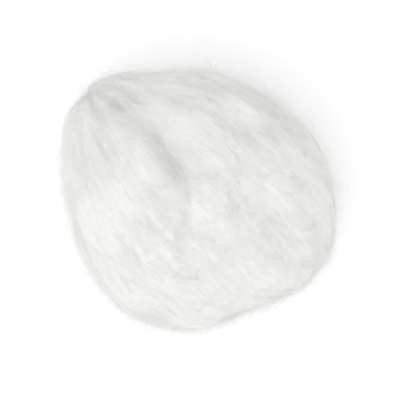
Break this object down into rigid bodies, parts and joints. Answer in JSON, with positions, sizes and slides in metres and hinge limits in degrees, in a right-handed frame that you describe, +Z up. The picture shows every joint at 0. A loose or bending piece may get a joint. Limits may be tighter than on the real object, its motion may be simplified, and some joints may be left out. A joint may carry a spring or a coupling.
{
  "type": "cotton ball",
  "caption": "Soft white ball of rolled cotton web with gathered ends, for dabbing, wiping, padding and cushioning.",
  "frame": {"origin": "middle of the box in plan, on the flat patch that the ball rests on", "axes": "+Z up from the surface it rests on; +X along the longest extent; the gathered neck points between -X and +Y, and the free edge of the web runs over the top"},
  "size_m": [0.0318, 0.0298, 0.0287],
  "materials": {
    "cotton": "matt bleached cotton fibre, soft and fuzzy"
  },
  "bodies": {
    "root": {"cotton_ball": "cotton"}
  },
  "joints": []
}
